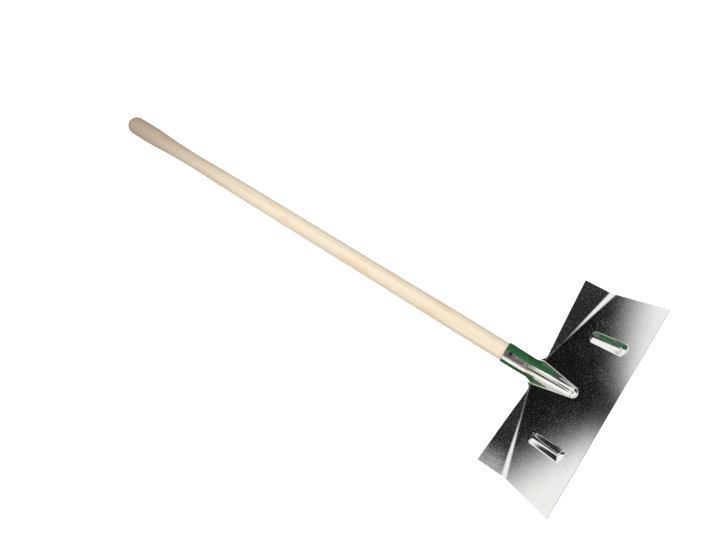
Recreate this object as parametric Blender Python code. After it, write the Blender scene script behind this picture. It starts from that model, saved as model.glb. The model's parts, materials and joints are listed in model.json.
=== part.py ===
"""A roofing shovel: a wide pressed steel blade, a green rolled socket welded to it, and an ash handle.

Everything is modelled in the blade's own frame: X across the blade, Y forward to its leading edge,
Z out of its load face, with the origin in the middle of the leading edge. One empty then lays the whole
tool face up on the ground, where it rests on the mouth of its socket and on the bulb of its handle.
Units are metres.
"""

import math

import bmesh
import bpy
import numpy as np
from mathutils import Matrix, Vector
from mathutils.geometry import delaunay_2d_cdt, intersect_line_line_2d

GAP = 0.0003  # clearance between pieces that touch
MERGE_DISTANCE = 1e-6
SHARP_ANGLE = math.radians(35.0)  # edges that bend more than this are shaded as corners

# Blade
SHEET = 0.0018
FRONT_HALF_WIDTH = 0.225
REAR_CORNER = Vector((0.204, -0.175))
NECK_CORNER = Vector((0.029, -0.168))  # where the creases of the bent-up rear corners start
NECK_FILLET_CENTRE = Vector((0.0384, -0.1814))  # of the fillet between the rear edge and the socket's side
NECK_FILLET_RADIUS = 0.0130
NECK_FILLET_STEPS = 6
CREASE_END = Vector((0.205, -0.118))  # the crease runs to here from the neck corner
WING_ANGLE = math.radians(16.6)
CREASE_SPREAD = math.radians(5.5)  # the bend is a cone with its tip at the neck corner
CREASE_ROWS = 7
CREASE_OVERSHOOT = 1.2  # the rows are drawn this much longer than the crease, then cut at the side edge

# Stiffening ribs pressed up from the blade: a rounded ridge between two plain flanks, highest at the blunt
# front end
RIB_REAR = Vector((0.1120, -0.114))
RIB_FRONT = Vector((0.1155, -0.032))
RIB_REAR_HALF_WIDTH = 0.0115
RIB_FRONT_HALF_WIDTH = 0.0130
RIB_REAR_HEIGHT = 0.0042
RIB_FRONT_HEIGHT = 0.0088
RIB_END_DEPTH = 0.0100  # length of the slope at each end
RIB_END_POWER = 2.6  # squareness of the outline's ends: 2 is an ellipse
RIB_RIDGE_SHARE = 0.20  # roundness of the ridge, as a share of the half width
RIB_FOOT_FILLET = 0.0006
RIB_SEGMENTS = 14
RIB_SPINE_POINTS = 5
RIB_RINGS = (0.12, 0.28, 0.50, 0.75, 0.90, 0.98, 1.06)  # shares of the rib's half width
RIB_FLANK_SHARES = (0.25, 0.5, 0.75)  # shares of the rib's length

# Socket: a rolled tube that opens into a hollow frog standing on the blade
LIFT_ANGLE = math.radians(27.0)  # between the handle and the blade
NECK_AXIS = Vector((0, -0.170, 0.014))  # the tube's axis where it reaches the blade
SOCKET_LENGTH = 0.066
SOCKET_MOUTH_RADIUS = 0.0209
SOCKET_NECK_RADIUS = 0.0200
SEAM_ANGLE = math.radians(176.0)  # half the tube's arc, which leaves a narrow seam below
NECK_BLEND = 0.024  # length over which the tube unrolls into the frog
FROG_REAR_Y = -0.1692
FROG_NOSE_Y = -0.0835
FROG_REAR_RADIUS = 0.0245
FROG_NOSE_RADIUS = 0.0098
FROG_REAR_HEIGHT = 0.0360
FROG_NOSE_HEIGHT = 0.0072
FROG_FOOT_HEIGHT = 0.0016  # the outside of the wall stops this far above the blade
FROG_REAR_POWER = 2.6
FROG_NOSE_POWER = 2.0
FROG_SLOPE_POWER = 1.25
FLANK_SHARE = 0.74  # share of the frog's half width that the upper half of its section spans
SECTION_STEPS = 14
TUBE_STATIONS = 4
BLEND_STATIONS = 8
FROG_STATIONS = 8
NOSE_STATIONS = 5

# Weld bead between the frog and the blade
WELD_START = 0.03  # share of the frog's length left bare at the blade's rear edge
WELD_LEG = 0.0021
WELD_BULGE = 0.0003
WELD_CLEARANCE = 0.0004

# Handle: distance from the socket's mouth and diameter, towards the bulb
WAIST_DISTANCE = 0.811
BULB_DISTANCE = 0.887
HANDLE_PROFILE = (
    (0.000, 0.0376),
    (0.100, 0.0384),
    (0.250, 0.0366),
    (0.440, 0.0350),
    (0.640, 0.0332),
    (WAIST_DISTANCE, 0.0312),
    (BULB_DISTANCE, 0.0380),
    (0.920, 0.0370),
)
HANDLE_VISIBLE = 0.939  # length outside the socket
HANDLE_TIP_CHAMFER = 0.022
HANDLE_TIP_RADIUS = 0.0115
HANDLE_SEGMENTS = 32
HANDLE_STATIONS = 9  # along the straight part, and again along the bulb
HANDLE_DOME_STEPS = 6

# Screw that keeps the handle in the socket
SCREW_FROM_MOUTH = 0.012
SCREW_HEAD_RADIUS = 0.0042
SCREW_HEAD_HEIGHT = 0.0022
SCREW_SHANK_RADIUS = 0.0021
SCREW_SHANK_LENGTH = 0.024
SCREW_POINT_LENGTH = 0.005
SCREW_RIM_HEIGHT = 0.0008
SCREW_SLOT_LENGTH = 0.0048
SCREW_SLOT_WIDTH = 0.0011
SCREW_SLOT_DEPTH = 0.0011
SCREW_SEGMENTS = 20
SCREW_DOME_STEPS = 4

BACKWARD = Vector((0, -math.cos(LIFT_ANGLE), math.sin(LIFT_ANGLE)))  # along the handle to its bulb
UPWARD = Vector((0, math.sin(LIFT_ANGLE), math.cos(LIFT_ANGLE)))  # square to the handle, away from the ground


# ---------------------------------------------------------------- helpers


def clear_scene():
    for obj in list(bpy.data.objects):
        bpy.data.objects.remove(obj, do_unlink=True)


def make_material(name, color, roughness, metallic):
    material = bpy.data.materials.new(name)
    material.use_nodes = True
    shader = material.node_tree.nodes["Principled BSDF"]
    shader.inputs["Base Color"].default_value = (*color, 1.0)
    shader.inputs["Roughness"].default_value = roughness
    shader.inputs["Metallic"].default_value = metallic
    material.diffuse_color = (*color, 1.0)
    return material


def add_object(name, bm, material):
    """Links the bmesh to the scene as a smooth-shaded object."""
    mesh = bpy.data.meshes.new(name)
    bm.to_mesh(mesh)
    bm.free()
    mesh.shade_smooth()
    mesh.set_sharp_from_angle(angle=SHARP_ANGLE)
    if material:
        mesh.materials.append(material)
    obj = bpy.data.objects.new(name, mesh)
    bpy.context.scene.collection.objects.link(obj)
    return obj


def add_solid(name, bm, material):
    """Adds a closed surface, turning all its faces outwards."""
    bmesh.ops.recalc_face_normals(bm, faces=bm.faces)
    return add_object(name, bm, material)


def add_sheet(name, bm, material):
    """Adds an open surface whose normals already point out, and gives it its thickness."""
    obj = add_object(name, bm, material)
    thicken(obj, SHEET)
    return obj


def add_cutter(name, bm):
    cutter = add_solid(name, bm, None)
    cutter.hide_render = True
    cutter.display_type = "WIRE"
    return cutter


def cut(obj, cutter):
    modifier = obj.modifiers.new("cut_" + cutter.name, "BOOLEAN")
    modifier.operation = "DIFFERENCE"
    modifier.object = cutter


def thicken(obj, thickness):
    """Gives a surface its sheet thickness, on the side away from its normals."""
    modifier = obj.modifiers.new("sheet", "SOLIDIFY")
    modifier.thickness = thickness
    modifier.offset = -1.0
    modifier.use_even_offset = True


def mix(a, b, share):
    return a + (b - a) * share


def smoothstep(value):
    value = min(max(value, 0.0), 1.0)
    return value * value * (3.0 - 2.0 * value)


def lathe(bm, profile, segments):
    """Turns (distance, radius) pairs about Z. A radius of 0 at an end closes it with one point."""
    angles = [2 * math.pi * i / segments for i in range(segments)]
    rings = []
    for distance, radius in profile:
        if radius == 0:
            rings.append([bm.verts.new((0, 0, distance))] * segments)
            continue
        points = [(radius * math.cos(a), radius * math.sin(a), distance) for a in angles]
        rings.append([bm.verts.new(point) for point in points])
    for low, high in zip(rings, rings[1:]):
        for i in range(segments):
            j = (i + 1) % segments
            corners = dict.fromkeys((low[i], low[j], high[j], high[i]))
            bm.faces.new(list(corners))


def hermite(points, position):
    """Smooth curve through (position, value) points, with the mean of its neighbours' slopes at each."""
    x = np.array([p[0] for p in points])
    y = np.array([p[1] for p in points])
    slopes = np.gradient(y, x)
    i = int(np.clip(np.searchsorted(x, position) - 1, 0, len(x) - 2))
    span = x[i + 1] - x[i]
    t = (position - x[i]) / span
    start = (1 + 2 * t) * (1 - t) ** 2 * y[i] + t * (1 - t) ** 2 * span * slopes[i]
    end = t * t * (3 - 2 * t) * y[i + 1] + t * t * (t - 1) * span * slopes[i + 1]
    return float(start + end)


def along_handle(direction_z):
    """Rotation that turns local Z to the given direction and keeps local X across the tool."""
    x_axis = Vector((1, 0, 0))
    z_axis = direction_z.normalized()
    y_axis = z_axis.cross(x_axis)
    return Matrix((x_axis, y_axis, z_axis)).transposed()


# ---------------------------------------------------------------- blade


def wing_height(x, y):
    """Height of the bent-up rear corner: flat in front of the crease, a conical bend, then a flat wing."""
    crease = (CREASE_END - NECK_CORNER).normalized()
    behind = Vector((crease.y, -crease.x))
    offset = Vector((abs(x), y)) - NECK_CORNER
    reach = max(offset.dot(crease), MERGE_DISTANCE)
    half_band = reach * math.tan(CREASE_SPREAD / 2)
    distance = offset.dot(behind)
    if distance <= -half_band:
        return 0.0
    if distance >= half_band:
        return distance * math.tan(WING_ANGLE)
    return (distance + half_band) ** 2 / (4 * half_band) * math.tan(WING_ANGLE)


def rib_axis():
    """The rib's length, its direction, and the direction across it to its outer side."""
    axis = RIB_FRONT - RIB_REAR
    ahead = axis.normalized()
    return axis.length, ahead, Vector((ahead.y, -ahead.x))


def rib_ridge(away):
    """Share of the rib's height at a share of its half width: 1 on the ridge and 0 at the foot."""
    span = math.hypot(1, RIB_RIDGE_SHARE) - RIB_RIDGE_SHARE
    return 1 - (math.hypot(away, RIB_RIDGE_SHARE) - RIB_RIDGE_SHARE) / span


def rib_height(x, y):
    """Height of the rib, with a small fillet at its foot."""
    length, ahead, aside = rib_axis()
    offset = Vector((abs(x), y)) - RIB_REAR
    along = offset.dot(ahead)
    spine = min(max(along, RIB_END_DEPTH), length - RIB_END_DEPTH)
    share = spine / length
    half_width = mix(RIB_REAR_HALF_WIDTH, RIB_FRONT_HALF_WIDTH, share)
    sideways = abs(offset.dot(aside)) / half_width
    beyond = abs(along - spine) / RIB_END_DEPTH
    away = (sideways**RIB_END_POWER + beyond**RIB_END_POWER) ** (1 / RIB_END_POWER)
    rise = mix(RIB_REAR_HEIGHT, RIB_FRONT_HEIGHT, share) * rib_ridge(away)
    if rise >= RIB_FOOT_FILLET:
        return rise
    if rise <= -RIB_FOOT_FILLET:
        return 0.0
    return (rise + RIB_FOOT_FILLET) ** 2 / (4 * RIB_FOOT_FILLET)


def blade_height(x, y):
    return wing_height(x, y) + rib_height(x, y)


def crease_row_ends():
    """Points on the side edge where the straight rows of the conical bend end, from front to back."""
    crease = CREASE_END - NECK_CORNER
    front_corner = Vector((FRONT_HALF_WIDTH, 0))
    ends = []
    for row in range(CREASE_ROWS):
        turn = CREASE_SPREAD * (0.5 - row / (CREASE_ROWS - 1))
        if turn == 0:
            ends.append(CREASE_END.copy())
            continue
        ray = Matrix.Rotation(turn, 2) @ crease * CREASE_OVERSHOOT
        side = (front_corner, CREASE_END) if turn > 0 else (CREASE_END, REAR_CORNER)
        ends.append(intersect_line_line_2d(NECK_CORNER, NECK_CORNER + ray, *side))
    return ends


def rib_points():
    """Rings of points round the rib, closest together where it bends most."""
    length, ahead, aside = rib_axis()
    rear_spine = RIB_REAR + ahead * RIB_END_DEPTH
    front_spine = RIB_FRONT - ahead * RIB_END_DEPTH
    ends = ((front_spine, RIB_FRONT_HALF_WIDTH, 1), (rear_spine, RIB_REAR_HALF_WIDTH, -1))
    points = [mix(rear_spine, front_spine, share) for share in np.linspace(0, 1, RIB_SPINE_POINTS)]
    for ring in RIB_RINGS:
        for spine, half_width, way in ends:
            for step in range(RIB_SEGMENTS + 1):
                angle = math.pi * step / RIB_SEGMENTS
                across, along = math.cos(angle), math.sin(angle)
                reach = (abs(across) ** RIB_END_POWER + along**RIB_END_POWER) ** (-1 / RIB_END_POWER) * ring
                sideways = aside * across * half_width
                points.append(spine + (sideways + ahead * along * way * RIB_END_DEPTH) * reach)
        for side in (1, -1):
            for share in RIB_FLANK_SHARES:
                half_width = mix(RIB_REAR_HALF_WIDTH, RIB_FRONT_HALF_WIDTH, share)
                points.append(mix(rear_spine, front_spine, share) + aside * side * half_width * ring)
    return points


def neck_outline():
    """Points from the rear edge round the fillet to the socket's side, and on to the neck."""
    points = []
    for step in range(NECK_FILLET_STEPS + 1):
        angle = math.pi / 2 * (1 + step / NECK_FILLET_STEPS)
        points.append(NECK_FILLET_CENTRE + Vector((math.cos(angle), math.sin(angle))) * NECK_FILLET_RADIUS)
    return [*points, Vector((points[-1].x, NECK_CORNER.y))]


def mirrored(point, side):
    return Vector((point.x * side, point.y))


def build_blade(material):
    """Triangulates the outline with the crease rows and the rib rings in it, then raises each point."""
    outline = []
    rows = []
    ribs = []
    ends = crease_row_ends()
    for side in (1, -1):
        half = [Vector((FRONT_HALF_WIDTH, 0)), *ends, REAR_CORNER, *neck_outline()]
        half = [mirrored(p, side) for p in half]
        outline += half if side == 1 else half[::-1]
        rows += [(mirrored(NECK_CORNER, side), mirrored(end, side)) for end in ends]
        ribs += [mirrored(p, side) for p in rib_points()]
    crease_starts = [mirrored(NECK_CORNER, side) for side in (1, -1)]
    corners = outline + crease_starts + ribs
    edges = [(i, (i + 1) % len(outline)) for i in range(len(outline))]
    edges += [(corners.index(start), corners.index(end)) for start, end in rows]
    inside_only = 1
    points, _, faces, _, _, _ = delaunay_2d_cdt(corners, edges, [], inside_only, MERGE_DISTANCE)
    bm = bmesh.new()
    verts = [bm.verts.new((p.x, p.y, blade_height(p.x, p.y))) for p in points]
    for face in faces:
        bm.faces.new([verts[i] for i in face])
    bmesh.ops.recalc_face_normals(bm, faces=bm.faces)
    bm.normal_update()
    if sum(face.normal.z for face in bm.faces) < 0:
        bmesh.ops.reverse_faces(bm, faces=bm.faces)
    return add_sheet("blade", bm, material)


# ---------------------------------------------------------------- socket


def tube_point(distance, step):
    """Point on the tube at a distance behind the neck. step runs from the crest, 0, to the seam, 1."""
    radius = mix(SOCKET_NECK_RADIUS, SOCKET_MOUTH_RADIUS, distance / SOCKET_LENGTH)
    angle = math.pi * step if step < 0.5 else mix(math.pi / 2, SEAM_ANGLE, step * 2 - 1)
    centre = NECK_AXIS + BACKWARD * distance
    return centre + Vector((math.sin(angle) * radius, 0, 0)) + UPWARD * math.cos(angle) * radius


def frog_wall(ahead, turn, share=1.0, lift=None):
    """Point on the frog. ahead runs from its rear, 0, to its nose's centre, 1. There turn fans the nose out,
    from square to the centre line, 0, to straight ahead, 1. share runs from the crest, 0, to the foot, 1,
    unless lift gives the height of the point on the wall instead."""
    crest = mix(FROG_NOSE_HEIGHT, FROG_REAR_HEIGHT, (1 - ahead) ** FROG_SLOPE_POWER)
    power = mix(FROG_REAR_POWER, FROG_NOSE_POWER, ahead)
    if lift is not None:
        share = (1 - (lift - FROG_FOOT_HEIGHT) / (crest - FROG_FOOT_HEIGHT)) ** (1 / power)
    reach = mix(FROG_REAR_RADIUS, FROG_NOSE_RADIUS, ahead) * share
    angle = turn * math.pi / 2
    centre_y = mix(FROG_REAR_Y, FROG_NOSE_Y, ahead)
    height = mix(crest, FROG_FOOT_HEIGHT, share**power)
    return Vector((reach * math.cos(angle), centre_y + reach * math.sin(angle), height))


def frog_point(ahead, turn, step):
    """Point on the frog with step running from the crest, 0, to the foot, 1, as on the tube."""
    share = 2 * step * FLANK_SHARE if step < 0.5 else mix(FLANK_SHARE, 1.0, step * 2 - 1)
    return frog_wall(ahead, turn, share)


def blend_point(distance, step):
    """Point where the tube unrolls, between the tube and a frog that reaches as far back."""
    share = smoothstep(1 - distance / NECK_BLEND)
    behind = distance * math.cos(LIFT_ANGLE) / (FROG_NOSE_Y - FROG_REAR_Y)
    return tube_point(distance, step).lerp(frog_point(-behind, 0, step), share)


def socket_stations():
    """Functions of step that give the sections of the socket's +X half, from the mouth to the nose."""
    stations = []
    for distance in np.linspace(SOCKET_LENGTH, NECK_BLEND, TUBE_STATIONS):
        stations.append(lambda step, d=distance: tube_point(d, step))
    for distance in np.linspace(NECK_BLEND, 0, BLEND_STATIONS + 1)[1:]:
        stations.append(lambda step, d=distance: blend_point(d, step))
    for ahead in np.linspace(0, 1, FROG_STATIONS + 1)[1:]:
        stations.append(lambda step, a=ahead: frog_point(a, 0, step))
    for turn in np.linspace(0, 1, NOSE_STATIONS + 1)[1:]:
        stations.append(lambda step, t=turn: frog_point(1, t, step))
    return stations


def build_socket(material):
    """Lofts the socket through its stations, one half and then its mirror image."""
    bm = bmesh.new()
    steps = np.linspace(0, 1, SECTION_STEPS + 1)
    for side in (1, -1):
        rows = []
        for station in socket_stations():
            points = [station(step) for step in steps]
            rows.append([bm.verts.new((p.x * side, p.y, p.z)) for p in points])
        for near, far in zip(rows, rows[1:]):
            for i in range(SECTION_STEPS):
                face = (near[i], near[i + 1], far[i + 1], far[i])
                bm.faces.new(face if side == 1 else face[::-1])
    bmesh.ops.remove_doubles(bm, verts=bm.verts, dist=MERGE_DISTANCE)
    bmesh.ops.dissolve_degenerate(bm, edges=bm.edges, dist=MERGE_DISTANCE)
    bm.normal_update()
    top = tube_point(SOCKET_LENGTH / 2, 0)
    crest_face = min(bm.faces, key=lambda face: (face.calc_center_median() - top).length)
    if crest_face.normal.dot(UPWARD) < 0:
        bmesh.ops.reverse_faces(bm, faces=bm.faces)
    return add_sheet("socket", bm, material)


# ---------------------------------------------------------------- weld


def weld_section(ahead, turn):
    """Corners of the bead's section: its root, its toe on the blade, its bulging face, its top on the frog's
    wall, and the wall's foot."""
    angle = turn * math.pi / 2
    if turn == 0:
        angle += math.atan2(FROG_REAR_RADIUS - FROG_NOSE_RADIUS, FROG_NOSE_Y - FROG_REAR_Y)
    outward = Vector((math.cos(angle), math.sin(angle), 0))
    foot = frog_wall(ahead, turn) + outward * WELD_CLEARANCE
    root = Vector((foot.x, foot.y, GAP))
    top = frog_wall(ahead, turn, lift=WELD_LEG) + outward * WELD_CLEARANCE
    toe = root + outward * WELD_LEG
    bulge = (outward + Vector((0, 0, 1))).normalized() * WELD_BULGE
    face = [toe.lerp(top, share) + bulge * math.sin(share * math.pi) for share in (0.25, 0.5, 0.75)]
    return [root, toe, *face, top, foot]


def build_weld(material):
    """One bead that runs down the +X side of the frog, round its nose and back up the other side."""
    bm = bmesh.new()
    half = [weld_section(ahead, 0) for ahead in np.linspace(WELD_START, 1, FROG_STATIONS + 1)]
    half += [weld_section(1, turn) for turn in np.linspace(0, 1, NOSE_STATIONS + 1)[1:]]
    other = [[Vector((-p.x, p.y, p.z)) for p in section] for section in half[-2::-1]]
    rings = [[bm.verts.new(p) for p in section] for section in half + other]
    for near, far in zip(rings, rings[1:]):
        for i in range(len(near)):
            j = (i + 1) % len(near)
            bm.faces.new((near[i], far[i], far[j], near[j]))
    bm.faces.new(rings[0])
    bm.faces.new(rings[-1][::-1])
    return add_object("socket_weld", bm, material)


# ---------------------------------------------------------------- handle


def handle_radius(distance):
    return hermite(HANDLE_PROFILE, distance) / 2


def socket_bore(distance_behind_neck):
    radius = mix(SOCKET_NECK_RADIUS, SOCKET_MOUTH_RADIUS, distance_behind_neck / SOCKET_LENGTH)
    return radius - SHEET - GAP


def handle_outline():
    """(distance from the mouth, radius) pairs, from the tip inside the socket to the end of the bulb."""
    outline = [
        (-SOCKET_LENGTH, 0.0),
        (-SOCKET_LENGTH, HANDLE_TIP_RADIUS),
        (HANDLE_TIP_CHAMFER - SOCKET_LENGTH, socket_bore(HANDLE_TIP_CHAMFER)),
        (0.0, socket_bore(SOCKET_LENGTH)),
    ]
    dome_start, dome_diameter = HANDLE_PROFILE[-1]
    straight = np.linspace(0, WAIST_DISTANCE, HANDLE_STATIONS + 1)[1:]
    bulb = np.linspace(WAIST_DISTANCE, dome_start, HANDLE_STATIONS + 1)[1:]
    outline += [(d, handle_radius(d)) for d in (*straight, *bulb)]
    dome_length = HANDLE_VISIBLE - dome_start
    for step in range(1, HANDLE_DOME_STEPS):
        angle = math.pi / 2 * step / HANDLE_DOME_STEPS
        outline.append((dome_start + dome_length * math.sin(angle), dome_diameter / 2 * math.cos(angle)))
    outline.append((HANDLE_VISIBLE, 0.0))
    return outline


def build_handle(material):
    bm = bmesh.new()
    lathe(bm, handle_outline(), HANDLE_SEGMENTS)
    handle = add_solid("handle", bm, material)
    handle.matrix_local = Matrix.Translation(mouth_centre()) @ along_handle(BACKWARD).to_4x4()
    return handle


def mouth_centre():
    return NECK_AXIS + BACKWARD * SOCKET_LENGTH


# ---------------------------------------------------------------- screw


def screw_place():
    """Frame of the screw: its origin under the head, on the socket's crest, and Z out of the socket."""
    distance = SOCKET_LENGTH - SCREW_FROM_MOUTH
    seat = tube_point(distance, 0) + UPWARD * GAP
    return Matrix.Translation(seat) @ along_handle(UPWARD).to_4x4()


def build_screw(material):
    bm = bmesh.new()
    point = -SCREW_SHANK_LENGTH
    profile = [
        (point, 0.0),
        (point + SCREW_POINT_LENGTH, SCREW_SHANK_RADIUS),
        (0.0, SCREW_SHANK_RADIUS),
        (0.0, SCREW_HEAD_RADIUS),
    ]
    for step in range(SCREW_DOME_STEPS):
        angle = math.pi / 2 * step / SCREW_DOME_STEPS
        height = mix(SCREW_RIM_HEIGHT, SCREW_HEAD_HEIGHT, math.sin(angle))
        profile.append((height, SCREW_HEAD_RADIUS * math.cos(angle)))
    profile.append((SCREW_HEAD_HEIGHT, 0.0))
    lathe(bm, profile, SCREW_SEGMENTS)
    screw = add_solid("handle_screw", bm, material)
    screw.matrix_local = screw_place()
    return screw


def slot_cutters():
    """Two crossed bars that cut the recess in the screw's head."""
    cutters = []
    for index, turn in enumerate((0.0, math.pi / 2)):
        bm = bmesh.new()
        bmesh.ops.create_cube(bm, size=1.0)
        size = (SCREW_SLOT_LENGTH, SCREW_SLOT_WIDTH, SCREW_SLOT_DEPTH * 2)
        bmesh.ops.scale(bm, vec=size, verts=bm.verts)
        bmesh.ops.rotate(bm, matrix=Matrix.Rotation(turn, 3, "Z"), verts=bm.verts)
        bmesh.ops.translate(bm, vec=(0, 0, SCREW_HEAD_HEIGHT), verts=bm.verts)
        cutter = add_cutter(f"slot_cutter_{index}", bm)
        cutter.matrix_local = screw_place()
        cutters.append(cutter)
    return cutters


def pilot_cutter():
    """Drill for the screw's hole through the socket and into the wood."""
    bm = bmesh.new()
    top = SCREW_HEAD_HEIGHT * 2
    radius = SCREW_SHANK_RADIUS + GAP
    bottom = -SCREW_SHANK_LENGTH - GAP
    lathe(bm, [(bottom, 0.0), (bottom, radius), (top, radius), (top, 0.0)], SCREW_SEGMENTS)
    cutter = add_cutter("pilot_cutter", bm)
    cutter.matrix_local = screw_place()
    return cutter


# ---------------------------------------------------------------- the tool as it lies


def ground_frame(objects):
    """Lays the tool down: turned so that the socket's mouth and the bulb both touch the ground, with the
    origin on the ground under the middle of the tool's box."""
    bulb_radius = handle_radius(BULB_DISTANCE)
    sag = math.asin((SOCKET_MOUTH_RADIUS - bulb_radius) / BULB_DISTANCE)
    turn = Matrix.Rotation(LIFT_ANGLE + sag, 4, "X")
    mouth = turn @ mouth_centre()
    leading_edge = turn @ Vector((0, 0, -SHEET))
    bulb_end = turn @ (mouth_centre() + BACKWARD * HANDLE_VISIBLE)
    middle_y = (leading_edge.y + bulb_end.y) / 2
    ground_z = mouth.z - SOCKET_MOUTH_RADIUS
    empty = bpy.data.objects.new("ground_frame", None)
    bpy.context.scene.collection.objects.link(empty)
    empty.matrix_world = Matrix.Translation((0, -middle_y, -ground_z)) @ turn
    for obj in objects:
        obj.parent = empty
    return empty


def main():
    clear_scene()
    steel = make_material("bright_steel", (0.56, 0.56, 0.55), 0.22, 1.0)
    enamel = make_material("green_enamel", (0.02, 0.16, 0.05), 0.30, 0.0)
    bead = make_material("weld_steel", (0.62, 0.61, 0.58), 0.35, 1.0)
    ash = make_material("ash_wood", (0.80, 0.66, 0.45), 0.55, 0.0)
    black = make_material("blackened_steel", (0.03, 0.03, 0.03), 0.40, 1.0)

    blade = build_blade(steel)
    socket = build_socket(enamel)
    weld = build_weld(bead)
    handle = build_handle(ash)
    screw = build_screw(black)
    drill = pilot_cutter()
    slots = slot_cutters()
    cut(socket, drill)
    cut(handle, drill)
    for slot in slots:
        cut(screw, slot)
    ground_frame([blade, socket, weld, handle, screw, drill, *slots])


main()
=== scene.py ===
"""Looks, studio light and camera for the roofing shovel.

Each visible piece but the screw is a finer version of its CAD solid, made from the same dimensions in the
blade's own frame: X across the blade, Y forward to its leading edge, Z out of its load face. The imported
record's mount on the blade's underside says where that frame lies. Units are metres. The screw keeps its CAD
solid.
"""

import json
import math

import bmesh
import bpy
import numpy as np
from mathutils import Matrix, Vector

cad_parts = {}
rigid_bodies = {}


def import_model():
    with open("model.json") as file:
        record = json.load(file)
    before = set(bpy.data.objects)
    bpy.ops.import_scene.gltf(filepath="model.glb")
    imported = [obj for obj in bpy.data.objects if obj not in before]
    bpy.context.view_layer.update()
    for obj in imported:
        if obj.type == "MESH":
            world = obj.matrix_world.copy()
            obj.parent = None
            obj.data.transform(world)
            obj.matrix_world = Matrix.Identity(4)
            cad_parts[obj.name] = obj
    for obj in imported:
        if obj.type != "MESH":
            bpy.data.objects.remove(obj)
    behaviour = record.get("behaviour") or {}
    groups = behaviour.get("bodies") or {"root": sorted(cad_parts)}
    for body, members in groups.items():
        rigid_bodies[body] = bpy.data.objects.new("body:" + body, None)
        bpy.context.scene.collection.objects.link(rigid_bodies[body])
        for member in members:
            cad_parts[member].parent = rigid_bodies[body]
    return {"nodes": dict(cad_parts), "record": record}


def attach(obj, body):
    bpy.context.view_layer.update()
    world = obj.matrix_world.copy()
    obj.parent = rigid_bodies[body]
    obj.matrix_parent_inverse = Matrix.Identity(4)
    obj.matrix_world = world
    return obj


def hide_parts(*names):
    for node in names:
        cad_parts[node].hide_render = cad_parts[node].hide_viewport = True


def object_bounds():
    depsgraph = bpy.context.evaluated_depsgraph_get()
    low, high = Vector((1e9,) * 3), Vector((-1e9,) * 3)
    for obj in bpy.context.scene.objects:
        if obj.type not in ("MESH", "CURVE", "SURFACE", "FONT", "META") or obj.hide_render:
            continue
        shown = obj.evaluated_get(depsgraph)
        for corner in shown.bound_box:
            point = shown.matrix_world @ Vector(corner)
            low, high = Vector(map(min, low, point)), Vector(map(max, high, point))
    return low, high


BODY = "root"
MERGE_DISTANCE = 1e-6

# Blade
UNDERSIDE_POINT = (0.0, -0.05, -0.0018)  # the mount's point on the underside, in the blade's frame
SHEET = 0.0018
FRONT_HALF_WIDTH = 0.225
REAR_CORNER = (0.204, -0.175)
NECK_CORNER = (0.029, -0.168)
NECK_FILLET_CENTRE = (0.0384, -0.1814)
NECK_FILLET_RADIUS = 0.0130
CREASE_END = (0.205, -0.118)
WING_SLOPE = math.tan(math.radians(16.6))
CREASE_SPREAD = math.radians(5.5)
CREASE_SHORTEST_REACH = 1e-6  # keeps the bend wider than nothing where it starts
BLADE_COLUMNS = 110  # on each half
RIB_COLUMNS = 40  # more of them over a rib
RIB_COLUMN_RANGE = (0.46, 0.61)  # shares of the half width
BLADE_ROWS = 150
WEB_ROWS = 12
BLADE_EDGE_ROUNDING = 0.0005
EDGE_ANGLE = math.radians(60)  # sharper edges are rounded
EDGE_SEGMENTS = 3

# The scuffed corner: where across the blade the wear starts, and over what widths it comes in
SCUFF_START = 0.120
SCUFF_WIDTH = 0.110
SCUFF_CREASE_WIDTH = 0.006

# Stiffening ribs
RIB_REAR = (0.1120, -0.114)
RIB_FRONT = (0.1155, -0.032)
RIB_REAR_HALF_WIDTH = 0.0115
RIB_FRONT_HALF_WIDTH = 0.0130
RIB_REAR_HEIGHT = 0.0042
RIB_FRONT_HEIGHT = 0.0088
RIB_END_DEPTH = 0.0100
RIB_END_POWER = 2.6
RIB_RIDGE_SHARE = 0.20
RIB_FOOT_FILLET = 0.0006

# Painted green reflection on one rib's outer flank, in shares of the rib's half width: where it starts and
# ends, and how wide its soft edges are. Then the soft share of its ends, and how much of it there is at its
# rear
RIB_PAINTED_REFLECTION_INNER = 0.18
RIB_PAINTED_REFLECTION_INNER_FADE = 0.12
RIB_PAINTED_REFLECTION_OUTER = 0.98
RIB_PAINTED_REFLECTION_OUTER_FADE = 0.10
RIB_PAINTED_REFLECTION_END_FADE = 0.5
RIB_PAINTED_REFLECTION_AT_REAR = 0.45

# Socket
LIFT_ANGLE = math.radians(27.0)
NECK_AXIS = np.array((0.0, -0.170, 0.014))
SOCKET_LENGTH = 0.066
SOCKET_MOUTH_RADIUS = 0.0209
SOCKET_NECK_RADIUS = 0.0200
SEAM_ANGLE = math.radians(176.0)
NECK_BLEND = 0.024
FROG_REAR_Y = -0.1692
FROG_NOSE_Y = -0.0835
FROG_REAR_RADIUS = 0.0245
FROG_NOSE_RADIUS = 0.0098
FROG_REAR_HEIGHT = 0.0360
FROG_NOSE_HEIGHT = 0.0072
FROG_FOOT_HEIGHT = 0.0016
FROG_REAR_POWER = 2.6
FROG_NOSE_POWER = 2.0
FROG_SLOPE_POWER = 1.25
FLANK_SHARE = 0.74
SECTION_STEPS = 48
TUBE_STATIONS = 16
BLEND_STATIONS = 28
FROG_STATIONS = 44
NOSE_STATIONS = 20
SOCKET_EDGE_ROUNDING = 0.0004

# Where the socket is worn bare of enamel: how far along, 0 at the mouth, 1 at the neck, 2 at the nose, and
# the band's edges on the -X and +X sides of the crest
BARE_ALONG = (0.0, 1.0, 1.35, 1.6, 1.8, 3.0)
BARE_LEFT = (-0.0025, -0.0025, -0.0050, -0.0100, -0.0300, -0.0300)
BARE_RIGHT = (0.0155, 0.0155, 0.0165, 0.0205, 0.0300, 0.0300)
BARE_SOFTNESS = 0.004
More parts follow.
